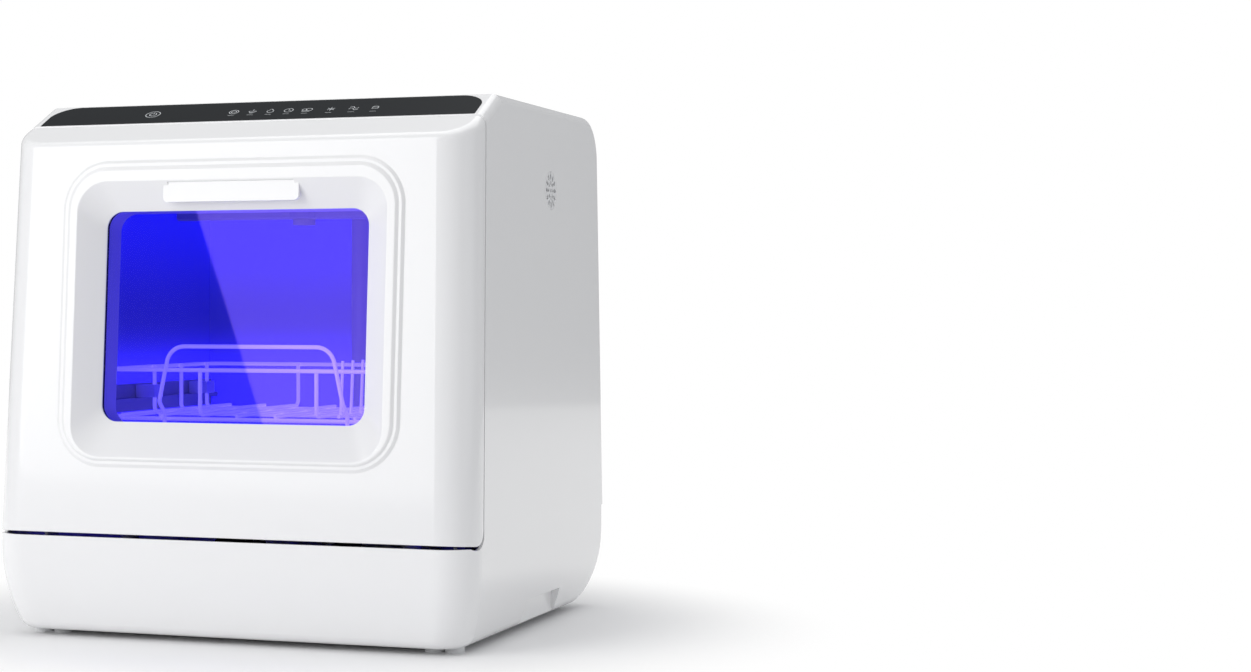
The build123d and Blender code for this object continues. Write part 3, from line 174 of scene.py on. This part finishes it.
paint = {
    "glossWhite": ["base_housing", "upper_housing", "door_panel", "door_handle", "fill_lid"],
    "satinWhite": ["front_feet", "rear_feet", "side_vent", "door_liner", "rack_runners", "pump_impeller",
                   "inlet_valve", "inlet_fitting", "drain_spigot"],
    "panelGlass": ["control_glass"],
    "windowGlass": ["door_window"],
    "litTub": ["wash_tub"],
    "tubGrey": ["detergent_cup", "rack_rails", "lower_spray_arm", "upper_spray_arm",
                "lower_spindle", "upper_spindle", "arm_nuts", "feed_pipe", "filter_basket"],
    "brushedSteel": ["rear_screws", "lid_pin", "door_strike", "door_screws", "hinge_pins", "filter_plate",
                     "flow_heater"],
    "zincSheet": ["rear_panel", "hinge_cheeks", "hinge_arms"],
    "coatedWire": ["rack_frame", "plate_combs", "rack_hoop"],
    "blackRubber": ["window_gasket", "tub_gasket"],
    "greyRubber": ["sump_hose", "heater_hose", "pressure_hose", "sump_drain_hose", "drain_hose",
                   "tank_hose", "fill_hose"],
    "blackPlastic": ["fill_funnel", "door_catch", "sump", "wash_pump", "drain_pump", "fan_housing",
                     "fan_rotor", "cord_gland"],
    "milkyPlastic": ["tub_lamp", "water_tank"],
    "boardGreen": ["touch_board", "main_board"],
}
for name, members in paint.items():
    for node in members:
        nodes[node].data.materials.clear()
        nodes[node].data.materials.append(materials[name])
print("finishes on:", sum(len(m) for m in paint.values()), "nodes")

# touch symbols printed on the control glass, drawn in millimetres
symbols = {
    "arcSteps": 28,
    "stroke": 0.42,
    "size": 1.2,
    "lift": 0.05,
    "drop": 22.6,
    "slopeTop": (-110.59, 446.0),
    "slope": 26,
    "rows": [
        (-96.0, 1.25, [("arc", 0, 0, 4.2, 0, 360), ("arc", 0, 0, 2.0, 120, 300), ("bar", 0, 1.7, 2.2, 90)]),
        (-21.7, 1.0, [("arc", 0, 0, 3.4, 0, 360), ("arc", 0, 0, 1.9, 0, 360)]),
        (-4.9, 1.0, [("arc", 0, 0.4, 2.6, 180, 180), ("bar", 0, 0.4, 5.6, 0), ("bar", 0, -2.9, 3.0, 0),
                     ("bar", 0, 2.4, 2.0, 90)]),
        (11.3, 1.0, [("arc", 0, -0.6, 2.4, 150, 240), ("bar", -1.0, 1.9, 3.0, 60),
                     ("bar", 1.0, 1.9, 3.0, 120)]),
        (27.4, 1.0, [("arc", 0, 0, 3.2, 0, 360), ("bar", 0, 1.0, 2.0, 90), ("bar", 0.8, 0, 1.8, 0)]),
        (43.4, 1.0, [("arc", -1.6, 0, 1.7, 0, 360), ("arc", 1.8, 0.3, 2.2, 0, 360),
                     ("bar", 0, -3.0, 6.0, 0)]),
        (64.7, 1.0, [("bar", 0, 0, 6.0, 30), ("bar", 0, 0, 6.0, 90), ("bar", 0, 0, 6.0, 150)]),
        (84.6, 1.0, [("arc", -1.5, 1.6, 1.6, 0, 180), ("arc", 1.7, 1.6, 1.6, 180, 180),
                     ("arc", -1.5, -1.2, 1.6, 0, 180), ("arc", 1.7, -1.2, 1.6, 180, 180)]),
        (103.5, 1.0, [("arc", 0, 1.0, 1.9, 0, 180), ("bar", 0, -1.4, 4.6, 0), ("bar", -2.1, -0.2, 2.6, 90),
                      ("bar", 2.1, -0.2, 2.6, 90), ("bar", 0, 1.0, 4.6, 0)]),
    ],
    "dash": (4.6, -6.4),
}


def addArc(mesh, centre, radius, start, sweep, width, place):
    ends = []
    for reach in (radius - width / 2, radius + width / 2):
        turn = radians(start)
        spot = Vector((centre[0] + reach * cos(turn), centre[1] + reach * sin(turn), 0))
        ends.append(mesh.verts.new(spot))
    edge = mesh.edges.new(ends)
    before = set(mesh.verts)
    bmesh.ops.spin(mesh, geom=ends + [edge], cent=(*centre, 0), axis=(0, 0, 1), angle=radians(sweep),
                   steps=symbols["arcSteps"], use_merge=sweep == 360)
    fresh = ends + [v for v in mesh.verts if v not in before]
    bmesh.ops.transform(mesh, matrix=place, verts=[v for v in fresh if v.is_valid])


def addBar(mesh, centre, length, turn, width, place):
    spot = place @ Matrix.Translation((*centre, 0)) @ Matrix.Rotation(radians(turn), 4, "Z")
    stretch = Matrix.Diagonal((length / 2, width / 2, 1, 1))
    bmesh.ops.create_grid(mesh, x_segments=1, y_segments=1, size=1, matrix=spot @ stretch)


def makeSymbols():
    mesh = bmesh.new()
    width = symbols["stroke"]
    for x, scale, strokes in symbols["rows"]:
        place = Matrix.Translation((x, 0, 0)) @ Matrix.Scale(scale * symbols["size"], 4)
        for stroke in strokes:
            if stroke[0] == "arc":
                addArc(mesh, stroke[1:3], stroke[3], stroke[4], stroke[5], width, place)
            else:
                addBar(mesh, stroke[1:3], stroke[3], stroke[4], width, place)
        if x > -50:
            addBar(mesh, (0, symbols["dash"][1]), symbols["dash"][0], 0, width * 0.8, place)
    y, z = symbols["slopeTop"]
    slope = Matrix.Translation((0, y / 1000, z / 1000)) @ Matrix.Rotation(radians(symbols["slope"]), 4, "X")
    onGlass = slope @ Matrix.Scale(0.001, 4) @ Matrix.Translation((0, -symbols["drop"], symbols["lift"]))
    bmesh.ops.transform(mesh, matrix=onGlass, verts=mesh.verts)
    bmesh.ops.recalc_face_normals(mesh, faces=mesh.faces)
    up = slope.to_3x3() @ Vector((0, 0, 1))
    bmesh.ops.reverse_faces(mesh, faces=[f for f in mesh.faces if f.normal.dot(up) < 0])
    data = bpy.data.meshes.new("touchSymbols")
    mesh.to_mesh(data)
    mesh.free()
    piece = bpy.data.objects.new("touchSymbols", data)
    bpy.context.scene.collection.objects.link(piece)
    data.materials.append(makeFinish("symbolInk", {"color": (0.66, 0.68, 0.70), "rough": 0.5}))
    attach(piece, "cabinet")
    return piece


makeSymbols()
print("symbols on the control glass")

# floor and backdrop
stage = {"size": 6.0, "color": (0.96, 0.96, 0.965), "fadeStart": 0.24, "fadeEnd": 0.46}


def makeFloor():
    mesh = bmesh.new()
    bmesh.ops.create_grid(mesh, x_segments=1, y_segments=1, size=stage["size"])
    data = bpy.data.meshes.new("studioFloor")
    mesh.to_mesh(data)
    mesh.free()
    floor = bpy.data.objects.new("studioFloor", data)
    bpy.context.scene.collection.objects.link(floor)
    material = bpy.data.materials.new("studioFloor")
    material.use_nodes = True
    tree = material.node_tree
    shader = tree.nodes["Principled BSDF"]
    shader.inputs["Base Color"].default_value = (*stage["color"], 1)
    shader.inputs["Roughness"].default_value = 0.6
    white = tree.nodes.new("ShaderNodeEmission")
    white.inputs["Color"].default_value = (1, 1, 1, 1)
    place = tree.nodes.new("ShaderNodeTexCoord")
    far = tree.nodes.new("ShaderNodeVectorMath")
    far.operation = "LENGTH"
    fade = tree.nodes.new("ShaderNodeMapRange")
    fade.interpolation_type = "SMOOTHSTEP"
    fade.inputs["From Min"].default_value = stage["fadeStart"]
    fade.inputs["From Max"].default_value = stage["fadeEnd"]
    rays = tree.nodes.new("ShaderNodeLightPath")
    seen = tree.nodes.new("ShaderNodeMath")
    seen.operation = "ADD"
    seenAll = tree.nodes.new("ShaderNodeMath")
    seenAll.operation = "ADD"
    seenAll.use_clamp = True
    amount = tree.nodes.new("ShaderNodeMath")
    amount.operation = "MULTIPLY"
    blend = tree.nodes.new("ShaderNodeMixShader")
    tree.links.new(place.outputs["Object"], far.inputs[0])
    tree.links.new(far.outputs["Value"], fade.inputs["Value"])
    tree.links.new(rays.outputs["Is Camera Ray"], seen.inputs[0])
    tree.links.new(rays.outputs["Is Glossy Ray"], seen.inputs[1])
    tree.links.new(seen.outputs["Value"], seenAll.inputs[0])
    tree.links.new(rays.outputs["Is Transmission Ray"], seenAll.inputs[1])
    tree.links.new(seenAll.outputs["Value"], amount.inputs[0])
    tree.links.new(fade.outputs["Result"], amount.inputs[1])
    tree.links.new(amount.outputs["Value"], blend.inputs["Fac"])
    tree.links.new(shader.outputs["BSDF"], blend.inputs[1])
    tree.links.new(white.outputs["Emission"], blend.inputs[2])
    tree.links.new(blend.outputs["Shader"], tree.nodes["Material Output"].inputs["Surface"])
    data.materials.append(material)
    return floor


floor = makeFloor()

# white studio: even light all round, white where the camera looks past the floor
world = bpy.data.worlds.new("studio")
world.use_nodes = True
bpy.context.scene.world = world
worldTree = world.node_tree
around = worldTree.nodes["Background"]
around.inputs["Color"].default_value = (0.97, 0.98, 1.0, 1)
around.inputs["Strength"].default_value = 0.43
backdrop = worldTree.nodes.new("ShaderNodeBackground")
backdrop.inputs["Color"].default_value = (1, 1, 1, 1)
backdrop.inputs["Strength"].default_value = 1.0
worldRays = worldTree.nodes.new("ShaderNodeLightPath")
pick = worldTree.nodes.new("ShaderNodeMixShader")
worldTree.links.new(worldRays.outputs["Is Camera Ray"], pick.inputs["Fac"])
worldTree.links.new(around.outputs["Background"], pick.inputs[1])
worldTree.links.new(backdrop.outputs["Background"], pick.inputs[2])
worldTree.links.new(pick.outputs["Shader"], worldTree.nodes["World Output"].inputs["Surface"])

lamps = {
    "keyFront": {"at": (-1.6, -2.5, 1.35), "size": 2.2, "power": 43, "color": (1, 1, 1)},
    "topSoft": {"at": (0.2, 0.3, 2.4), "size": 2.4, "power": 24, "color": (1, 1, 1)},
    "rightSoft": {"at": (2.6, -0.2, 1.0), "size": 1.6, "power": 3, "color": (0.95, 0.97, 1)},
}
for name, lamp in lamps.items():
    light = bpy.data.lights.new(name, "AREA")
    light.energy = lamp["power"]
    light.size = lamp["size"]
    light.color = lamp["color"]
    holder = bpy.data.objects.new(name, light)
    holder.location = lamp["at"]
    aim = Vector((0, 0, 0.22)) - holder.location
    holder.rotation_euler = aim.to_track_quat("-Z", "Y").to_euler()
    bpy.context.scene.collection.objects.link(holder)
print("studio ready")

# camera at the photograph's place
shot = {"at": (0.7898, -2.0165, 0.2740), "toward": (-0.36418, 0.93125, -0.01187), "lens": 70.85,
        "shiftX": 0.2466}
cameraData = bpy.data.cameras.new("shot")
cameraData.sensor_width = 36
cameraData.lens = shot["lens"]
cameraData.shift_x = shot["shiftX"]
cameraData.clip_start = 0.05
camera = bpy.data.objects.new("shot", cameraData)
camera.location = shot["at"]
camera.rotation_euler = Vector(shot["toward"]).to_track_quat("-Z", "Y").to_euler()
bpy.context.scene.collection.objects.link(camera)
bpy.context.scene.camera = camera
bpy.context.scene.view_settings.view_transform = "Standard"
